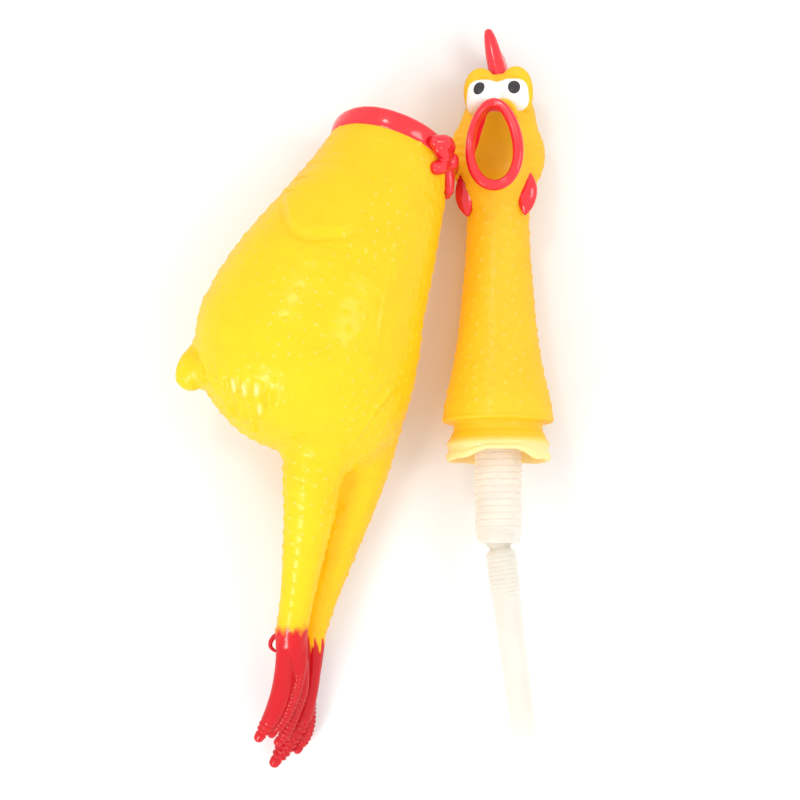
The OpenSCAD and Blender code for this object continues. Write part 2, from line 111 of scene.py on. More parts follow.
# For each toe: how deep its scales are, the scales' spacing, and how many millimetres of it are scaly
RIGHT_SCALES = [(0.5, 2.2, 8), (0.35, 1.5, 30), (0.4, 1.9, 26)]
LEFT_SCALES = [(0.75, 2.3, 24), (0.45, 1.7, 32), (0.4, 1.9, 24)]

# The feathers on the rump: x, y, half width, length and lean. The second to fifth carry painted highlights on
# their tops
DROPS = [
    (-52.0, 7.4, 1.0, 8.5, 0.25), (-46.9, 4.4, 1.2, 8.0, 0.2), (-42.8, 2.9, 1.3, 8.0, 0.1),
    (-38.2, 2.8, 1.6, 7.5, 0.02), (-37.4, -4.2, 1.2, 5.5, 0.08), (-44.6, -5.2, 1.2, 7, 0.3),
    (-49.8, -3.4, 1.1, 8, 0.42), (-40.8, -9.6, 1.1, 6.5, 0.28), (-33.6, -0.4, 1.1, 7, 0.0),
]

# The fine fold lines on the body: from, to, half width and height, which is below 0 for a groove
FOLDS = [
    # along the belly
    ((12.0, 60), (12.4, 41), 1.0, 0.45), ((8.6, 37), (5.6, 19.5), 0.9, 0.4), ((10.6, 52), (9.0, 38), 0.8, 0.25),
    # between the belly and the thighs, and down the legs
    ((11.6, 4.4), (3.6, -5.6), 0.9, 1.1), ((3.6, -5.6), (-3.2, -15.8), 0.9, 0.6),
    ((14.4, 0), (7.4, -11.5), 1.0, 0.3), ((-7.5, -16), (-14.5, -60), 1.4, 0.35),
    ((-10, -30), (-17.5, -70), 1.0, -0.3),
    # on the back, and round the foot of the tail
    ((-47, 40), (-36, 13), 1.6, 0.25),
    ((-67.0, 22), (-63.1, 16.5), 1.3, -0.9), ((-63.1, 16.5), (-59.3, 7.7), 1.3, -0.9),
    ((-59.3, 7.7), (-57.1, 1.5), 1.1, -0.6), ((-64.9, 22), (-61.0, 16.5), 1.2, 0.5),
    ((-61.0, 16.5), (-57.2, 7.7), 1.2, 0.5), ((-57.2, 7.7), (-55.0, 1.5), 1.1, 0.4),
]

# The neck's outline: radius and height above its groove
NECK = [(21.8, 3.0), (21.0, 8), (19.5, 15.4), (17.9, 22.5), (16.4, 31), (15.2, 40), (14.3, 50),
        (13.4, 60), (12.7, 70), (12.3, 78), (12.2, 86), (12.5, 92)]

MOUTH_AT = (0.0, -24.5, 107.9)
MOUTH_HALF = (9.0, 16.1)
MOUTH_X = -0.9  # how far the beak leans to one side
LIP_R = 2.1
EYES_X = 0.6  # how far the eyes and the comb sit to one side of the beak
# For each side (-1 is the chicken's right): the white's middle out from the face's, and its half height
EYE_AT = {-1: (6.3, -12.2, 129.0), 1: (5.9, -12.2, 129.8)}
EYE_HALF = {-1: (6.4, 8.0, 7.2), 1: (6.4, 8.0, 6.6)}
PUPIL_AT = {-1: (7.4, 131.0), 1: (6.2, 131.2)}
EYE_SUNK = 0.9  # how far an eye's white reaches in under the skin around it


# ---------------------------------------------------------------- frames

def rotation(axis, angle):
    """The 3 by 3 matrix that turns by angle about axis 0, 1 or 2."""
    c, s = math.cos(angle), math.sin(angle)
    i, j = [k for k in range(3) if k != axis]
    if axis == 1:
        s = -s
    m = np.eye(3)
    m[i, i], m[i, j], m[j, i], m[j, j] = c, -s, s, c
    return m


NECK_TURN = rotation(0, -math.pi / 2 - NECK_TILT)
HEAD_TURN = NECK_TURN @ rotation(2, FACE_TURN)
COLLAR_TURN = rotation(2, -COLLAR_YAW) @ rotation(0, -math.pi / 2 - COLLAR_PITCH)


def from_neck(p):
    """From the neck's axes (+Z up the neck, -Y out of the face) to the drawing's."""
    return p @ NECK_TURN.T + GROOVE_AT


def from_head(p):
    """As from_neck, turned with the face, and bent a little to one side higher up."""
    bend = 0.5 * ramp(p[:, 2], 15, 90)
    return (p + np.outer(bend, (1, 0, 0))) @ HEAD_TURN.T + GROOVE_AT


def from_collar(p):
    """From the collar's axes (+Z out of the opening, +X to the chest) to the drawing's."""
    return p @ COLLAR_TURN.T + COLLAR_AT


def to_collar(p):
    return (p - COLLAR_AT) @ COLLAR_TURN


# ---------------------------------------------------------------- distance fields

def smooth(rows, steps):
    """The rows with smooth ones added between each two, on a Catmull-Rom curve."""
    rows = np.asarray(rows, float)
    ends = np.vstack([rows[:1], rows, rows[-1:]])
    out = []
    for a, b, c, d in zip(ends, ends[1:], ends[2:], ends[3:]):
        for t in np.arange(steps) / steps:
            out.append(0.5 * (2 * b + (c - a) * t + (2 * a - 5 * b + 4 * c - d) * t ** 2
                              + (3 * b - a - 3 * c + d) * t ** 3))
    return np.array(out + [rows[-1]])


def limb(p, line):
    """Distance to a chain of balls joined by cones. Each ball may be flattened in Z."""
    best = np.full(len(p), 1e3)
    for a, b in zip(line, line[1:]):
        run = b[:3] - a[:3]
        t = np.clip((p - a[:3]) @ run / (run @ run), 0, 1)
        off = p - a[:3] - t[:, None] * run
        flat = a[4] + t * (b[4] - a[4])
        off[:, 2] /= flat
        near = (np.sqrt((off ** 2).sum(1)) - a[3] - t * (b[3] - a[3])) * np.minimum(flat, 1)
        best = np.minimum(best, near)
    return best


def egg(p, middle, half):
    """Roughly the distance to an ellipsoid."""
    q = (p - np.array(middle)) / np.array(half)
    k = np.sqrt((q ** 2).sum(1)) + 1e-9
    return (k - 1) * k / (np.sqrt(((q / np.array(half)) ** 2).sum(1)) + 1e-9)


def join(a, b, soft):
    """The union of two fields, rounded over by about soft millimetres."""
    h = np.clip(0.5 + 0.5 * (b - a) / soft, 0, 1)
    return b + (a - b) * h - soft * h * (1 - h)


def ramp(x, low, high):
    """0 below low, 1 above high, and smooth between."""
    t = np.clip((x - low) / (high - low), 0, 1)
    return t * t * (3 - 2 * t)


def slope(field, p, step=0.05):
    """The field's direction of steepest rise at each point."""
    g = np.stack([field(p + e) - field(p - e) for e in np.eye(3) * step], 1)
    return g / (np.linalg.norm(g, axis=1, keepdims=True) + 1e-12)


def skin(field, low, high, cell):
    """(points, quads) of the surface where the field is 0, in the box from low to high."""
    low, high = np.array(low, float), np.array(high, float)
    count = np.ceil((high - low) / cell).astype(int) + 1
    axes = [low[i] + cell * np.arange(count[i]) for i in range(3)]
    values = np.empty(count, np.float32)
    for i, x in enumerate(axes[0]):
        yy, zz = np.meshgrid(axes[1], axes[2], indexing="ij")
        p = np.stack([np.full(yy.size, x), yy.ravel(), zz.ravel()], 1)
        values[i] = field(p).reshape(yy.shape)
    grid = openvdb.FloatGrid(float(values.max()))
    grid.copyFromArray(values)
    points, quads = grid.convertToQuads(isovalue=0.0)
    points = low + points * cell
    return settle(field, points), quads


def settle(field, points, rounds=3):
    """Moves the points onto the surface where the field is 0."""
    for _ in range(rounds):
        points = points - field(points)[:, None] * slope(field, points)
    return points


def split(points, quads):
    """Each quad made into four, with a point in its middle and on each of its edges."""
    quads = np.asarray(quads, np.int64)
    edges = np.stack([quads, np.roll(quads, -1, 1)], 2).reshape(-1, 2)
    keys, where = np.unique(np.sort(edges, 1), axis=0, return_inverse=True)
    where = where.reshape(-1, 4) + len(points)
    centres = len(points) + len(keys) + np.arange(len(quads))
    out = np.concatenate([points, points[keys].mean(1), points[quads].mean(1)])
    pieces = [np.stack([quads[:, k], where[:, k], centres, where[:, k - 1]], 1) for k in range(4)]
    return out, np.concatenate(pieces)


def keep(points, quads, wanted):
    """Only the quads whose four points are all wanted, and the points they use."""
    quads = quads[wanted[quads].all(1)]
    used, quads = np.unique(quads, return_inverse=True)
    return points[used], quads.reshape(-1, 4)


# ---------------------------------------------------------------- relief on a skin

def scattered(points, spacing, seed):
    """Some of the points, picked at random so that no two are nearer than spacing."""
    order = np.random.default_rng(seed).permutation(len(points))
    taken, cells = [], {}
    for i in order:
        p = points[i]
        c = tuple((p // spacing).astype(int))
        near = (q for dx in (-1, 0, 1) for dy in (-1, 0, 1) for dz in (-1, 0, 1)
                for q in cells.get((c[0] + dx, c[1] + dy, c[2] + dz), ()))
        if all(((p - q) ** 2).sum() > spacing ** 2 for q in near):
            cells.setdefault(c, []).append(p)
            taken.append(p)
    return np.array(taken)


def bumps(points, centres, radius, height):
    """How far a round bump on each centre lifts each point."""
    tree = KDTree(len(centres))
    for i, c in enumerate(centres):
        tree.insert(c, i)
    tree.balance()
    near = np.array([tree.find(p)[2] for p in points])
    return height * np.clip(1 - (near / radius) ** 2, 0, 1) ** 1.5


def mesh(name, points, faces, finish, tone_and_shade=0.0, paint=0.0, tips=0.0):
    """A smooth-shaded object from points in drawing millimetres."""
    data = bpy.data.meshes.new(name)
    data.from_pydata(((points + CENTRING) * MM).tolist(), [], np.asarray(faces).tolist())
    data.shade_smooth()
    for label, values in (("tone_and_shade", tone_and_shade), ("paint", paint), ("tips", tips)):
        layer = data.attributes.new(label, "FLOAT", "POINT")
        layer.data.foreach_set("value", np.full(len(points), values, np.float32))
    obj = bpy.data.objects.new(name, data)
    bpy.context.scene.collection.objects.link(obj)
    data.materials.append(finish)
    return obj


def ring_quads(rings, sides, closed=False):
    """Quads between rings of points, and from the last back to the first if closed."""
    quads = []
    for i in range(rings if closed else rings - 1):
        j = (i + 1) % rings
        for k in range(sides):
            n = (k + 1) % sides
            quads.append((i * sides + k, i * sides + n, j * sides + n, j * sides + k))
    return np.array(quads)


def lathe(profile, sides):
    """(points, quads) of an outline of (radius, height) turned about Z."""
    turn = np.linspace(0, 2 * math.pi, sides, endpoint=False)
    points = np.stack([
        np.outer(profile[:, 0], np.cos(turn)).ravel(),
        np.outer(profile[:, 0], np.sin(turn)).ravel(),
        np.repeat(profile[:, 1], sides)], 1)
    return points, ring_quads(len(profile), sides)


# ---------------------------------------------------------------- materials

def material(name):
    """A new material, its tree, and the principled shader and the output in it."""
    mat = bpy.data.materials.new(name)
    mat.use_nodes = True
    tree = mat.node_tree
    tree.nodes.clear()
    out = tree.nodes.new("ShaderNodeOutputMaterial")
    shader = tree.nodes.new("ShaderNodeBsdfPrincipled")
    tree.links.new(shader.outputs["BSDF"], out.inputs["Surface"])
    return mat, tree, shader, out


def reader_of(tree, label):
    """The value of the mesh's attribute called label."""
    reader = tree.nodes.new("ShaderNodeAttribute")
    reader.attribute_name = label
    return reader.outputs["Fac"]


def colour_of(tree, plain, tone_and_shade, painted, tips=None):
    """A colour that runs from plain to the others with three attributes: an orange that is painted shade (on
    the head partly its own deeper tone), paint, and painted highlights.
    """
    last = None
    for label, other in (("tone_and_shade", tone_and_shade), ("paint", painted), ("tips", tips)):
        if other is None:
            continue
        mix = tree.nodes.new("ShaderNodeMix")
        mix.data_type = "RGBA"
        tree.links.new(reader_of(tree, label), mix.inputs["Factor"])
        if last is None:
            mix.inputs["A"].default_value = (*plain, 1)
        else:
            tree.links.new(last, mix.inputs["A"])
        mix.inputs["B"].default_value = (*other, 1)
        last = mix.outputs["Result"]
    return last


def noise(tree, scale, detail=2):
    """A noise fixed to the object."""
    place = tree.nodes.new("ShaderNodeTexCoord")
    cloud = tree.nodes.new("ShaderNodeTexNoise")
    cloud.inputs["Scale"].default_value = scale
    cloud.inputs["Detail"].default_value = detail
    tree.links.new(place.outputs["Object"], cloud.inputs["Vector"])
    return cloud.outputs["Fac"]


def fine_bump(tree, scale, distance):
    """A faint unevenness of the skin."""
    bump = tree.nodes.new("ShaderNodeBump")
    bump.inputs["Strength"].default_value = 1
    bump.inputs["Distance"].default_value = distance
    tree.links.new(noise(tree, scale), bump.inputs["Height"])
    return bump.outputs["Normal"]


def mottled(tree, plain, colour, depth):
    """The colour, or plain if there is none, made a little lighter and darker in soft patches."""
    span = tree.nodes.new("ShaderNodeMapRange")
    span.inputs["From Min"].default_value = 0.3
    span.inputs["From Max"].default_value = 0.7
    span.inputs["To Min"].default_value = 1 - depth
    span.inputs["To Max"].default_value = 1
    tree.links.new(noise(tree, 90, 3), span.inputs["Value"])
    tint = tree.nodes.new("ShaderNodeHueSaturation")
    tint.inputs["Color"].default_value = (*plain, 1)
    if colour is not None:
        tree.links.new(colour, tint.inputs["Color"])
    tree.links.new(span.outputs["Result"], tint.inputs["Value"])
    return tint.outputs["Color"]


def vinyl(name, plain, tone_and_shade=None, painted=None, tips=None, roughness=0.3, gloss=0.28, coat=0.12, glow=0.48,
          through=None, mottle=0.06):
    """Soft glossy vinyl. glow is the share of light that comes through the wall, tinted by through."""
    mat, tree, shader, out = material(name)
    shader.inputs["Roughness"].default_value = roughness
    shader.inputs["Specular IOR Level"].default_value = gloss
    shader.inputs["Coat Weight"].default_value = coat
    if painted:
        shine = tree.nodes.new("ShaderNodeMapRange")
        shine.inputs["To Min"].default_value = coat
        shine.inputs["To Max"].default_value = 0.5
        tree.links.new(reader_of(tree, "paint"), shine.inputs["Value"])
        tree.links.new(shine.outputs["Result"], shader.inputs["Coat Weight"])
    shader.inputs["Coat Roughness"].default_value = 0.06
    colour = mottled(tree, plain, colour_of(tree, plain, tone_and_shade, painted, tips), mottle)
    tree.links.new(colour, shader.inputs["Base Color"])
    tree.links.new(fine_bump(tree, 260, 0.00015), shader.inputs["Normal"])
    if glow:
        wall = tree.nodes.new("ShaderNodeBsdfTranslucent")
        tint = mottled(tree, through, colour_of(tree, through, None, painted), mottle)
        tree.links.new(tint, wall.inputs["Color"])
        mix = tree.nodes.new("ShaderNodeMixShader")
        mix.inputs["Fac"].default_value = glow
        tree.links.new(shader.outputs["BSDF"], mix.inputs[1])
        tree.links.new(wall.outputs["BSDF"], mix.inputs[2])
        tree.links.new(mix.outputs["Shader"], out.inputs["Surface"])
    return mat


def milky(name, colour, clear):
    """Cloudy plastic. clear is the share of light that goes straight through."""
    mat, tree, shader, out = material(name)
    cloudy = mottled(tree, colour, None, 0.06)
    tree.links.new(cloudy, shader.inputs["Base Color"])
    shader.inputs["Roughness"].default_value = 0.3
    tree.links.new(fine_bump(tree, 420, 0.00008), shader.inputs["Normal"])
    glow = tree.nodes.new("ShaderNodeBsdfTranslucent")
    tree.links.new(cloudy, glow.inputs["Color"])
    see = tree.nodes.new("ShaderNodeBsdfTransparent")
    see.inputs["Color"].default_value = (1, 1, 1, 1)
    cloud = tree.nodes.new("ShaderNodeMixShader")
    cloud.inputs["Fac"].default_value = 0.6
    body = tree.nodes.new("ShaderNodeMixShader")
    body.inputs["Fac"].default_value = clear
    tree.links.new(shader.outputs["BSDF"], cloud.inputs[1])
    tree.links.new(glow.outputs["BSDF"], cloud.inputs[2])
    tree.links.new(cloud.outputs["Shader"], body.inputs[1])
    tree.links.new(see.outputs["BSDF"], body.inputs[2])
    tree.links.new(body.outputs["Shader"], out.inputs["Surface"])
    return mat


YELLOW = (1.0, 0.68, 0.014)
LIGHT_YELLOW = (1.0, 0.70, 0.04)
THROUGH = (1.0, 0.72, 0.08)
# Orange laid on through the first colour attribute: painted shade on the body's side that faces +X, and on the
# head partly its own deeper tone and partly painted shade.
ORANGE_TONE_AND_SHADE = (1.0, 0.40, 0.02)
# Pale cream for a painted reflection: it lightens the lower band of the neck's flange, where its gloss would
# show the white surroundings.
PAINTED_SHEEN = (1.0, 0.86, 0.48)
# Pale yellow for painted highlights on the tops of bumps and feathers.
HIGHLIGHT_YELLOW = (1.0, 0.90, 0.42)
RED = (0.70, 0.009, 0.018)

skin_finish = vinyl("yellow skin", YELLOW, tone_and_shade=ORANGE_TONE_AND_SHADE, painted=RED, tips=HIGHLIGHT_YELLOW, through=THROUGH)
# On the head's pieces the paint attribute lays on the flange's painted reflection, not paint.
head_finish = vinyl("warm yellow skin", LIGHT_YELLOW, tone_and_shade=ORANGE_TONE_AND_SHADE, painted=PAINTED_SHEEN, tips=HIGHLIGHT_YELLOW, roughness=0.36,
                    glow=0.55, through=THROUGH)
red_finish = vinyl("red paint", RED, roughness=0.2, gloss=0.35, coat=0.4, glow=0, mottle=0.12)
white_finish = vinyl("eye white", (0.86, 0.83, 0.80), coat=0.1, glow=0, mottle=0.04)
black_finish = vinyl("pupil", (0.03, 0.027, 0.03), roughness=0.35, coat=0, glow=0, mottle=0.2)
# The barrel and the tube are the same milky plastic: the barrel's copy is made lighter as painted light, to
# lift the shade the neck casts on it, and the tube's is darker where it lies in full light.
barrel_finish = milky("milky plastic", (0.92, 0.895, 0.855), 0.3)
tube_finish = milky("milky tube", (0.86, 0.84, 0.79), 0.3)
reed_finish = vinyl("reed plastic", (0.75, 0.68, 0.5), roughness=0.5, coat=0, glow=0)


# ---------------------------------------------------------------- body

LINES = {name: smooth(rows, 3) for name, rows in (
    ("trunk", TRUNK), ("hip", HIP), ("rump", RUMP), ("tail", TAIL), ("right", RIGHT_LEG), ("left", LEFT_LEG))}


def legs(p):
    return join(limb(p, LINES["right"]), limb(p, LINES["left"]), 5)


def is_right(p):
    """Whether each point is nearer to the right leg than to the left one."""
    return limb(p, LINES["right"]) < limb(p, LINES["left"])


def body_field(p):
    """The body with its legs, down to the toes' roots."""
    d = join(limb(p, LINES["trunk"]), limb(p, LINES["hip"]), 8)
    d = join(d, limb(p, LINES["tail"]), 3.5)
    d = join(d, limb(p, LINES["rump"]), 3)
    leg = np.where(p[:, 1] < 40, legs(p), 1e3)
    return join(d, leg, 5)


# ---------------------------------------------------------------- the body's skin

def across(p, x, y, lean):
    """The points' places across and along something that leans, measured from its middle at x, y."""
    dx, dy = p[:, 0] - x, p[:, 1] - y
    return dx * math.cos(lean) + dy * math.sin(lean), dy * math.cos(lean) - dx * math.sin(lean)


def wing_lift(p, normal):
    """The folded wing: a soft-edged flap with a round lower end, on the flanks."""
    reach, corner = 15.5, 9.0
    u, v = across(p, -14.1, 75.3, 0.05)
    half = reach + 0.12 * np.clip(v, -10, 14)
    inside = np.minimum(half - np.abs(u), reach + v)
    cx = np.maximum(np.abs(u) - (half - corner), 0)
    cy = np.maximum(-(v + reach - corner), 0)
    inside = np.where((cx > 0) & (cy > 0), corner - np.hypot(cx, cy), inside)
    flap = ramp(inside, -0.4, 2.4) * (1 - ramp(v, 2, 20))
    crease = np.exp(-((inside + 1.2) / 1.0) ** 2) * (1 - ramp(v, -4, 10))
    fade = 1 - 0.8 * ramp(u, 4, 17)
    return (2.2 * flap - 0.5 * crease) * fade * ramp(np.abs(normal[:, 2]), 0.25, 0.6)


def rump_folds(p, normal):
    """The feathers on the rump: long raised drops with grooves between them."""
    out = np.zeros(len(p))
    for x, y, wide, tall, lean in DROPS:
        u, v = across(p, x, y, lean)
        taper = wide * (1 + 0.35 * np.clip(v / tall, -1, 1))
        lift = 0.75 - 0.6 * np.clip(v / tall, -0.6, 0.6) - 0.2 * np.clip(u / taper, -1, 1)
        out += 1.25 * lift * np.exp(-(u / taper) ** 4 - (v / (0.5 * tall)) ** 4)
        out -= 0.3 * np.exp(-((np.abs(u) - 1.9 * taper) / (0.6 * wide)) ** 2 - (v / (0.5 * tall)) ** 4)
    return out * ramp(normal[:, 2], 0.02, 0.3)


def drop_glints(p):
    """Painted highlights: pale patches on the tops of the feathers in the middle of the rump."""
    out = np.zeros(len(p))
    for x, y, wide, tall, lean in DROPS[1:5]:
        u, v = across(p, x, y + 0.1 * tall, lean)
        out += 0.8 * np.exp(-(u / (0.6 * wide)) ** 2 - (v / (0.28 * tall)) ** 4)
    return out


def creases(p, normal):
    """The fine fold lines on the upper side."""
    out = np.zeros(len(p))
    for a, b, wide, deep in FOLDS:
        a, b = np.array(a, float), np.array(b, float)
        run = b - a
        t = np.clip((p[:, :2] - a) @ run / (run @ run), 0, 1)
        away = np.linalg.norm(p[:, :2] - a - t[:, None] * run, axis=1)
        out += deep * np.exp(-(away / wide) ** 2)
    return out * ramp(normal[:, 2], 0.15, 0.5)


def ankle_paint(p, side):
    """0 on the yellow leg and 1 on the sprayed foot, with a ragged soft edge."""
    x, z = p[:, 0], p[:, 2]
    if side == "right":
        wave = 0.7 * np.sin(x * 1.9 + 0.7) + 0.5 * np.sin(z * 2.3) + 0.3 * np.sin(x * 4.3 + z * 3.1)
        soft = 2.4
    else:
        wave = 2.6 * np.sin(x * 2.2 + 0.4) + 1.3 * np.sin(x * 5.1 + z) + 0.8 * np.sin(z * 2.9)
        soft = 0.8
    return ramp(ANKLE[side] - p[:, 1] + wave, -soft, soft)


def make_body():
    cell = 1.3
    points, quads = skin(body_field, (-77, -96, -4), (36, 122, 84), cell)
    points, quads = split(points, quads)
    points = settle(body_field, points, 2)
    mouth = to_collar(points)[:, 2]
    lowest = np.where(is_right(points), SEAM["right"], SEAM["left"]) - 1.0
    points, quads = keep(points, quads, (mouth < -0.3) & (points[:, 1] > lowest))
    normal = slope(body_field, points)
    near_leg = ramp(-points[:, 1], -8, 30)
    flap = ramp(wing_lift(points, normal), 0.2, 0.9)
    centres = scattered(points[::3], 4.3, seed=7)
    patch = 0.5 + 0.5 * np.sin(points[:, 0] / 9 + 1) * np.sin(points[:, 1] / 11 + 2)
    strength = np.clip(0.45 + 0.8 * patch, 0, 1) * (1 - 0.8 * flap)
    rounds = bumps(points, centres, 1.35, 1.0) * strength
    relief = rounds * (0.42 + 0.12 * near_leg)
    # Painted highlights: pale dots on the tops of the bumps that face up, and pale patches on the rump's middle
    # feathers.
    tips = 0.5 * ramp(rounds, 0.68, 1.0) * ramp(normal[:, 2], 0.3, 0.8) + drop_glints(points)
    relief += wing_lift(points, normal) + rump_folds(points, normal) + creases(points, normal)
    points = points + relief[:, None] * normal
    points[:, 2] = np.maximum(points[:, 2], FLOOR)
    # Painted shade: the side that faces +X, away from the main lamp, is tinted orange.
    shaded_side = ramp(normal[:, 0] * 0.9 - normal[:, 1] * 0.1, 0.35, 0.8)
    paint = np.where(is_right(points), ankle_paint(points, "right"), ankle_paint(points, "left"))
    paint = np.where(points[:, 1] < -60, paint, 0)
    obj = mesh("body_skin", points, quads, skin_finish, tone_and_shade=0.10 * shaded_side, paint=paint, tips=tips * (1 - paint))
    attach(obj, "body")
    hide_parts("body_shell")


# ---------------------------------------------------------------- feet

def make_foot(side, toes, scales, spur):
    toe_lines = [smooth(t, 5) for t in toes]
    spur_line = smooth(spur, 4)
    shank = LINES[side][LINES[side][:, 1] < -70].copy()
    shank[:, 3] -= 0.12

    def shape(p):
        d = limb(p, shank)
        for line in toe_lines:
            d = join(d, limb(p, line), 0.7)
        return join(d, limb(p, spur_line), 0.4)

    ends = np.concatenate([np.array(t)[:, :3] for t in toes] + [np.array(spur)[:, :3]])
    low = ends.min(0) - 8
    high = ends.max(0) + 8
    high[1] = SEAM[side] + 5
    points, quads = skin(shape, low, high, 0.7)
    points, quads = split(points, quads)
    points = settle(shape, points, 2)
    points, quads = keep(points, quads, points[:, 1] < SEAM[side] + 0.8)
    normal = slope(shape, points)
    relief = np.zeros(len(points))
    for line, (deep, pitch, scaly) in zip(toe_lines, scales):
        away = limb(points, line)
        runs = np.concatenate([[0], np.cumsum(np.linalg.norm(np.diff(line[:, :3], axis=0), axis=1))])
        near = np.argmin(((points[:, None, :] - line[None, :, :3]) ** 2).sum(2), 1)
        step = line[np.minimum(near + 1, len(line) - 1), :3] - line[np.maximum(near - 1, 0), :3]
        step /= np.linalg.norm(step, axis=1, keepdims=True)
        s = runs[near] + ((points - line[near, :3]) * step).sum(1)
        scale = np.abs(np.sin((s - runs[-1]) * math.pi / pitch))
        zone = ramp(s, runs[-1] - scaly, runs[-1] - 0.75 * scaly)
        zone *= 1 - ramp(s, runs[-1] - 3.0, runs[-1] - 2.0)
        claw = 0.45 * np.exp(-((s - runs[-1] + 2.2) / 0.6) ** 2)
        ring = deep * (scale - 0.55) * zone - claw
        relief += ring * ramp(-away, -0.6, -0.05)
    points = points + relief[:, None] * normal
    points[:, 2] = np.maximum(points[:, 2], FLOOR)
    obj = mesh(f"{side}_foot_skin", points, quads, skin_finish, paint=ankle_paint(points, side))
    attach(obj, "body")
    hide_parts(f"{side}_foot")


# ---------------------------------------------------------------- collar and bow

def make_collar():
    outline = [(17.6, -1.6), (17.7, 1.4), (19.4, 3.0), (COLLAR_R - 2.4, 3.3), (COLLAR_R - 0.9, 2.9),
               (COLLAR_R - 0.2, 1.9), (COLLAR_R, 0.2), (COLLAR_R - 0.1, -1.6), (COLLAR_R - 0.5, -3.0),
               (COLLAR_R - 1.3, -3.6), (COLLAR_R - 2.6, -3.4), (COLLAR_R - 3.6, -1.8), (17.6, -1.6)]
    points, quads = lathe(smooth(outline, 4), 160)
    turn = np.arctan2(points[:, 1], points[:, 0])
    points[:, 2] += 0.25 * np.sin(3 * turn + 0.6) * ramp(np.hypot(points[:, 0], points[:, 1]), 20, 24)
    upper = ramp(-np.sin(turn), 0.1, 1.0)
    front = ramp(points[:, 2], -3.2, 1.0)
    points[:, 2] += upper * (2.9 * front + 1.9 * (1 - front))
    obj = mesh("collar_ring", from_collar(points), quads, red_finish)
    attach(obj, "body")
    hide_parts("collar_rim")


def make_bow():
    ribbons = [smooth(r, 4) for r in (
        [(24.4, -2.5, 0.2, 2.2, 1), (25.8, -6.4, 2.6, 2.6, 1), (25.4, -10.6, 2.6, 2.8, 1),
         (23.2, -13.4, 0.8, 2.6, 1)],
        [(24.6, -3.0, -1.2, 2.2, 1), (25.6, -7.0, -1.4, 2.7, 1), (24.4, -11.0, -0.6, 2.6, 1)],
        [(24.6, -2.0, -2.5, 2.2, 1), (25.4, -5.6, -5.2, 3.0, 1), (24.8, -8.0, -7.2, 2.8, 1)],
        [(24.4, 2.5, 0.2, 2.4, 1), (23.8, 7.0, 0.4, 2.7, 1), (21.6, 11.0, -0.8, 2.6, 1)],
        [(24.6, 2.0, -2.0, 2.2, 1), (23.8, 6.6, -3.2, 2.5, 1), (21.8, 10.6, -3.2, 2.4, 1)],
        [(24.8, 1.0, -3.0, 2.3, 1), (26.2, 3.6, -7.6, 2.3, 1), (26.8, 4.8, -10.6, 2.1, 1)],
        [(24.8, 2.4, -3.0, 2.2, 1), (25.2, 5.6, -8.0, 2.2, 1), (25.4, 7.6, -11.4, 1.7, 1)])]

    def shape(p):
        d = egg(p, (25.4, 0, -0.6), (3.4, 3.2, 3.8))
        for line in ribbons:
            d = join(d, limb(p, line), 0.45)
        return np.maximum(d, 21.5 - np.hypot(p[:, 0], p[:, 1]))

    points, quads = skin(shape, (14, -22, -17), (32, 22, 10), 0.6)
    obj = mesh("bow_knot", from_collar(points @ rotation(2, BOW_TURN).T), quads, red_finish)
    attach(obj, "body")
    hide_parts("collar_bow")


# ---------------------------------------------------------------- head

NECK_CURVE = smooth(NECK, 4)


def neck_radius(z):
    return np.interp(z, NECK_CURVE[:, 1], NECK_CURVE[:, 0])


def rim_depth(z):
    """Where the beak's rim is in Y, z half heights above its middle."""
    return MOUTH_AT[1] + 1.6 * np.clip(z, -1, 1) ** 2


def rim_point(u, grow=0.0):
    """A point on the centre line of the beak's rim, an egg with its narrow end up."""
    return np.stack([
        MOUTH_X + (MOUTH_HALF[0] + grow) * np.cos(u) * (1 - 0.2 * np.sin(u)),
        rim_depth(np.sin(u)),
        MOUTH_AT[2] + (MOUTH_HALF[1] + grow) * np.sin(u)], -1)


def brow(side):
    """The thick arc over one eye."""
    out = []
    for i in range(15):
        t = i / 14
        a = math.radians(-30 + 196 * t)
        rise = math.sin(math.pi * t)
        out.append((EYES_X + side * (6.6 + 4.8 * math.cos(a)), -12.0 - 2.4 * rise,
                    129.4 + (8.6 + 0.25 * side) * math.sin(a), 1.7 + 1.0 * rise, 1))
    return np.array(out)


BROWS = [brow(1), brow(-1)]
# The yellow ridge that shows beside the top of the lip
NOSTRIL = smooth([(1.6, -20.2, 125.6, 1.0, 1), (4.2, -20.6, 124.9, 1.1, 1), (6.4, -20.2, 122.8, 1.1, 1),
                  (7.8, -19.2, 119.8, 1.0, 1)], 3)


def beak_cone(p):
    """The funnel of skin from the cheeks out to the beak's rim."""
    t = np.clip((p[:, 1] + 6) / (MOUTH_AT[1] + 6), 0, 1)
    side = 12.8 + (MOUTH_HALF[0] - 0.6 - 12.8) * t
    tall = 17.8 + (MOUTH_HALF[1] - 0.6 - 17.8) * t
    z = (p[:, 2] - MOUTH_AT[2]) / tall
    x = (p[:, 0] - MOUTH_X * t) / (side * (1 - 0.2 * np.clip(z, -1, 1)))
    ring = (np.hypot(x, z) - 1) * 11
    return np.maximum(ring, np.maximum(rim_depth(z) - p[:, 1], p[:, 1] + 2))


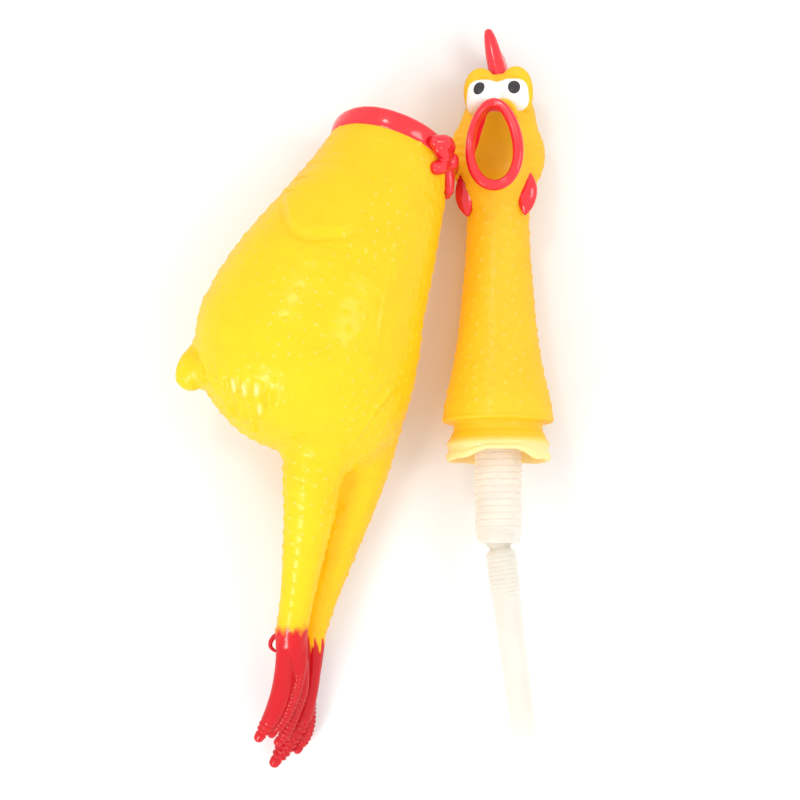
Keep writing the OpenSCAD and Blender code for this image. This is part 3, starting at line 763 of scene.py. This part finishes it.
def head_field(p):
    """The head and neck: the neck's cone, skull, throat, beak, brows and the lids behind the eyes."""
    neck = np.hypot(p[:, 0], p[:, 1]) - neck_radius(p[:, 2])
    neck = np.maximum(neck, np.maximum(3.0 - p[:, 2], p[:, 2] - 90))
    d = egg(p, (-0.3, -4.0, 107.6), (19.0, 12.6, 19.4))
    d = join(d, egg(p, (0.9, -3.6, 124), (13.9, 11.0, 12)), 5)
    d = join(d, neck, 7)
    d = join(d, egg(p, (0, -6, 96), (12.5, 9, 10)), 4)
    d = join(d, beak_cone(p), 3.5)
    for line in BROWS:
        d = join(d, limb(p, line), 1.2)
    d = join(d, egg(p, (EYES_X + 0.2, -11.6, 135.8), (2.6, 2.6, 2.8)), 2.2)
    d = join(d, limb(p, NOSTRIL), 0.6)
    for s in (1, -1):
        d = join(d, egg(p, (EYES_X + s * 6.0, -6.4, 131.5), (6.9, 8.2, 7.8)), 1.5)
    return d


def make_head():
    points, quads = skin(head_field, (-24, -30, 0), (24, 24, 146), 1.1)
    points, quads = split(points, quads)
    points = settle(head_field, points, 2)
    rim_y = rim_depth((points[:, 2] - MOUTH_AT[2]) / MOUTH_HALF[1])
    points, quads = keep(points, quads, (points[:, 1] >= rim_y + 0.35) & (points[:, 2] > 3.4))
    normal = slope(head_field, points)
    on_neck = 1 - ramp(points[:, 2], 84, 104)
    centres = scattered(points[points[:, 2] < 104][::2], 4.0, seed=3)
    rounds = bumps(points, centres, 1.3, 1.0) * on_neck * ramp(points[:, 2], 4, 8)
    # Painted highlights: pale dots on the tops of the neck's bumps that face up.
    tips = 0.42 * ramp(rounds, 0.7, 1.0) * ramp(-normal[:, 1], 0.4, 0.9)
    relief = 0.42 * rounds
    wrinkle = np.sin(points[:, 2] * 1.9 + 1.5 * np.sin(points[:, 0] * 0.5))
    wrinkle *= np.exp(-((np.abs(points[:, 0]) - 15) / 4) ** 2)
    relief += 0.2 * wrinkle * ramp(points[:, 2], 92, 100) * (1 - ramp(points[:, 2], 116, 122))
    placed = from_head(points + relief[:, None] * normal)
    placed[:, 2] = np.maximum(placed[:, 2], FLOOR)
    # The orange tint here is partly the neck's own deeper tone, the same all over, and partly painted shade on
    # the side that faces -X, towards the body.
    shade = ramp(-normal[:, 0], 0.2, 0.9)
    obj = mesh("head_skin", placed, quads, head_finish, tone_and_shade=0.06 + 0.05 * shade, tips=tips)
    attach(obj, "head")
    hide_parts("neck_shell", "head_shell")


def make_plug():
    """The snap groove and the open flange below the neck, with the web that grips the barrel."""
    outline = [
        (9.3, -3.2), (16.6, -3.4), (17.9, -4.6), (18.6, -7.4), (18.8, -12.4), (19.5, -12.9), (20.3, -12.5),
        (20.4, -10.8), (19.7, -9.6), (19.6, -8.4), (19.9, -7.4), (20.1, -6.2), (19.6, -5.4), (18.6, -3.8),
        (18.1, -2.4), (17.6, -1.6), (17.4, -0.6), (17.4, 0.9), (17.8, 1.6), (19.4, 2.0), (21.0, 2.1),
        (21.7, 2.6), (21.8, 3.3), (21.6, 4.2)]
    points, quads = lathe(smooth(outline, 4), 180)
    turn = np.arctan2(points[:, 1], points[:, 0])
    up = ramp(-np.sin(turn), -0.2, 0.9)
    low = 1 - ramp(points[:, 2], -12.5, -7.5)
    arch = 3.4 * up * np.exp(-(np.cos(turn) / 0.6) ** 4)
    points[:, 2] += low * (arch + 0.3 * np.sin(7 * turn + 1) * np.sin(2 * turn))
    points[:, :2] *= (1 + 0.012 * low * np.sin(3 * turn + 0.5))[:, None]
    # Painted reflection: the flange's lower band is made pale cream, where its gloss would show the white
    # surroundings.
    obj = mesh("neck_plug", from_neck(points), quads, head_finish, tone_and_shade=0.15 * ramp(points[:, 2], -7, -3),
               paint=1 - ramp(points[:, 2], -8.0, -3.6))
    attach(obj, "head")


def lip_thinning(u):
    """How much thinner the lip is at its upper side towards the body."""
    return 0.85 * np.exp(-((np.abs(np.angle(np.exp(1j * (u - 2.5)))) / 0.75) ** 2))


def make_lip():
    sides, count = 36, 144
    u = np.linspace(0, 2 * math.pi, count, endpoint=False)
    thin = lip_thinning(u)
    middle = rim_point(u, thin)
    ahead = rim_point(u + 0.02) - rim_point(u - 0.02)
    ahead /= np.linalg.norm(ahead, axis=1, keepdims=True)
    out = np.cross(ahead, (0, 1, 0))
    out /= np.linalg.norm(out, axis=1, keepdims=True)
    side = np.cross(ahead, out)
    v = np.linspace(0, 2 * math.pi, sides, endpoint=False)
    groove = 1 - 0.12 * np.exp(-((v - math.pi / 2) / 0.3) ** 2)
    radius = ((LIP_R - thin + 0.1 * np.sin(3 * u + 1))[:, None] * groove[None, :])[:, :, None]
    points = middle[:, None, :] + radius * (
        np.cos(v)[None, :, None] * out[:, None, :] + np.sin(v)[None, :, None] * side[:, None, :])
    obj = mesh("lip_roll", from_head(points.reshape(-1, 3)), ring_quads(count, sides, closed=True), red_finish)
    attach(obj, "head")
    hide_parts("beak_lip")


def make_throat():
    """The red wall inside the lip, which narrows to the squarer opening behind it."""
    corners = [
        (7.6, 104.5), (7.0, 111.5), (4.4, 118.4), (2.2, 121.2), (-3.0, 121.4), (-4.9, 116.6), (-6.9, 110.0),
        (-8.6, 104), (-8.0, 99.0), (-5.2, 95.0), (-0.2, 93.6), (4.2, 95.2), (6.8, 99.0)]
    ring = smooth(corners + corners[:1], 10)[:-1]
    around = np.arctan2((ring[:, 1] - MOUTH_AT[2]) / MOUTH_HALF[1], (ring[:, 0] - MOUTH_X) / MOUTH_HALF[0])
    outer = rim_point(around, lip_thinning(around))
    inner = np.stack([ring[:, 0], np.full(len(ring), MOUTH_AT[1] + 5.5), ring[:, 1]], 1)
    steps = 8
    points = []
    for t in np.arange(steps + 1) / steps:
        points.append(outer * (1 - t) + inner * t + np.array((0, math.sin(math.pi * t), 0)))
    obj = mesh("throat_wall", from_head(np.concatenate(points)), ring_quads(steps + 1, len(ring)), red_finish)
    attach(obj, "head")


def make_on_head(name, shape, low, high, cell, finish, replaced):
    """A piece of the head made from the field called shape."""
    points, quads = skin(shape, low, high, cell * (1))
    obj = mesh(name, from_head(points), quads, finish)
    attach(obj, "head")
    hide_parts(replaced)


def eye_middle(side):
    out, y, z = EYE_AT[side]
    return np.array((EYES_X + side * out, y, z))


def eyeball(p, side):
    """One bulging white: a ball with squarer sides and a flatter lower edge."""
    q = (p - eye_middle(side)) / np.array(EYE_HALF[side])
    face = (np.abs(q[:, 0]) ** 3 + np.abs(q[:, 2]) ** 3) ** (1 / 3)
    return (np.sqrt(face ** 2 + q[:, 1] ** 2) - 1) * 7


def make_eye(side, name):
    """One white. The two meet in the middle of the face."""
    def shape(p):
        both = join(eyeball(p, side), eyeball(p, -side), 4.0)
        past = -side * (p[:, 0] - EYES_X)
        ball = np.maximum(both + 0.3 * ramp(past, 0, 0.8), past - 0.8)
        return np.maximum(ball, -head_field(p) - EYE_SUNK)

    c = eye_middle(side)
    make_on_head(f"{name}_eyeball", shape, c - 9.5, c + 9.5, 0.5, white_finish, f"{name}_eye")


def make_pupil(side, name):
    """A flat painted oval that follows the white. The right one leans."""
    half_wide, half_tall = (2.15, 2.65) if side < 0 else (2.4, 2.75)
    lean = 0.16 if side < 0 else 0
    out, height = PUPIL_AT[side]
    middle = EYES_X + side * out

    def shape(p):
        ball = eyeball(p, side)
        x, z = p[:, 0] - middle, p[:, 2] - height
        oval = (np.hypot((x - lean * z) / half_wide, z / half_tall) - 1) * 2.3
        return np.maximum(np.maximum(ball - 0.16, -ball - 0.3), np.maximum(oval, p[:, 1] + 14))

    c = np.array((middle, -19, height))
    make_on_head(f"{name}_iris", shape, c - 4, c + 4, 0.22, black_finish, f"{name}_pupil")


# Down each wattle: out from the middle, y, z and half width
LEAF = {
    -1: smooth([(12.8, -9.9, 100.8, 0.7, 1), (13.0, -9.0, 95.8, 3.0, 1), (12.9, -7.9, 91.2, 3.8, 1),
                (12.4, -7.2, 87.2, 3.0, 1), (11.8, -6.8, 83.6, 0.8, 1)], 3),
    1: smooth([(12.2, -11.2, 99.6, 0.7, 1), (12.0, -10.6, 95.0, 3.0, 1), (11.6, -10.2, 91.6, 3.9, 1),
               (11.2, -9.6, 87.5, 3.1, 1), (10.8, -9.0, 83.4, 0.8, 1)], 3),
}
LEAF_FLAT = 0.62  # a wattle's thickness as a share of its width


def make_wattle(side, name):
    line = LEAF[side].copy()
    line[:, 1] /= LEAF_FLAT

    def shape(p):
        q = np.stack([side * p[:, 0], p[:, 1] / LEAF_FLAT, p[:, 2]], 1)
        return limb(q, line) * LEAF_FLAT

    low = (min(side * 6, side * 20), -16, 79)
    high = (max(side * 6, side * 20), 2, 103)
    make_on_head(f"{name}_lobe", shape, low, high, 0.5, red_finish, f"{name}_wattle")


def make_comb():
    spikes = [
        [(1.0, -8.4, 137.6, 3.7, 1), (-0.9, -9.0, 145.4, 3.3, 1), (-2.5, -9.4, 152.8, 2.5, 1),
         (-3.2, -9.4, 155.9, 1.7, 1)],
        [(2.2, -5.0, 136.4, 3.7, 1), (1.2, -5.0, 143.0, 3.0, 1), (-0.2, -5.0, 148.4, 2.2, 1),
         (-0.9, -5.0, 151.0, 1.5, 1)],
        [(2.6, -1.0, 133.6, 3.5, 1), (2.2, -0.6, 141.0, 2.8, 1), (1.2, 0.0, 148.0, 1.8, 1)],
        [(2.0, 2.2, 131, 3.2, 1), (1.6, 3.2, 136.4, 2.4, 1), (1.2, 3.8, 141.6, 1.5, 1)],
    ]
    lines = [smooth(s, 3) for s in spikes]

    def shape(p):
        d = limb(p, lines[0])
        for line in lines[1:]:
            d = join(d, limb(p, line), 2.2)
        return d

    make_on_head("comb_spikes", shape, (-8, -14, 126), (9, 9, 159), 0.5, red_finish, "comb")


# ---------------------------------------------------------------- squawker

SQUAWKER = {
    "squawker_barrel": barrel_finish,
    "barrel_cap": barrel_finish,
    "tail_tube": tube_finish,
    "reed_seat": reed_finish,
    "reed_clip": reed_finish,
    "reed_tongue": reed_finish,
}


def finish_squawker():
    """The CAD's own solids, with finishes."""
    for name, finish in SQUAWKER.items():
        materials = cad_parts[name].data.materials
        materials.clear()
        materials.append(finish)


# ---------------------------------------------------------------- stage

def make_stage():
    """The plain pale floor."""
    data = bpy.data.meshes.new("floor")
    wide = 6.0
    corners = [(-wide, -wide, 0), (wide, -wide, 0), (wide, wide, 0), (-wide, wide, 0)]
    data.from_pydata(corners, [], [(0, 1, 2, 3)])
    floor = bpy.data.objects.new("floor", data)
    bpy.context.scene.collection.objects.link(floor)
    mat, _, shader, _ = material("floor")
    shader.inputs["Base Color"].default_value = (0.70, 0.695, 0.688, 1)
    shader.inputs["Roughness"].default_value = 0.9
    shader.inputs["Specular IOR Level"].default_value = 0.1
    data.materials.append(mat)


def area_light(name, place, size, power):
    """A square light aimed at the middle of the set."""
    data = bpy.data.lights.new(name, "AREA")
    data.size = size
    data.energy = power
    light = bpy.data.objects.new(name, data)
    light.location = place
    light.rotation_euler = (Vector((0, 0, 0.02)) - Vector(place)).to_track_quat("-Z", "Y").to_euler()
    bpy.context.scene.collection.objects.link(light)


def make_light():
    world = bpy.data.worlds.new("soft white")
    world.use_nodes = True
    background = world.node_tree.nodes["Background"]
    background.inputs["Color"].default_value = (1, 1, 1, 1)
    background.inputs["Strength"].default_value = 1.32
    bpy.context.scene.world = world
    area_light("left", (-0.60, -0.70, 0.60), 0.28, 5.4)
    area_light("right", (0.65, 0.10, 0.85), 0.35, 2.6)
    area_light("top", (-0.30, 0.55, 0.95), 0.16, 1.5)


def make_camera():
    """Straight down from above the set."""
    data = bpy.data.cameras.new("camera")
    data.lens = 86.5
    data.sensor_width = 36
    data.clip_start = 0.05
    data.clip_end = 20
    camera = bpy.data.objects.new("camera", data)
    camera.location = (0.01291, -0.000365, 0.775)
    bpy.context.scene.collection.objects.link(camera)
    bpy.context.scene.camera = camera


def set_look():
    """Plain colours, and enough bounces for light to come through the skins."""
    scene = bpy.context.scene
    scene.view_settings.view_transform = "Standard"
    scene.view_settings.look = "None"
    scene.view_settings.exposure = 0.0
    scene.cycles.use_denoising = True
    scene.cycles.max_bounces = 10
    scene.cycles.diffuse_bounces = 6
    scene.cycles.transmission_bounces = 8
    scene.cycles.transparent_max_bounces = 12
    scene.cycles.sample_clamp_indirect = 6


make_body()
make_foot("right", RIGHT_TOES, RIGHT_SCALES, RIGHT_SPUR)
make_foot("left", LEFT_TOES, LEFT_SCALES, LEFT_SPUR)
make_collar()
make_bow()
make_head()
make_plug()
make_lip()
make_throat()
for side, name in ((-1, "right"), (1, "left")):
    make_eye(side, name)
    make_pupil(side, name)
    make_wattle(side, name)
make_comb()
finish_squawker()
make_stage()
make_light()
make_camera()
set_look()
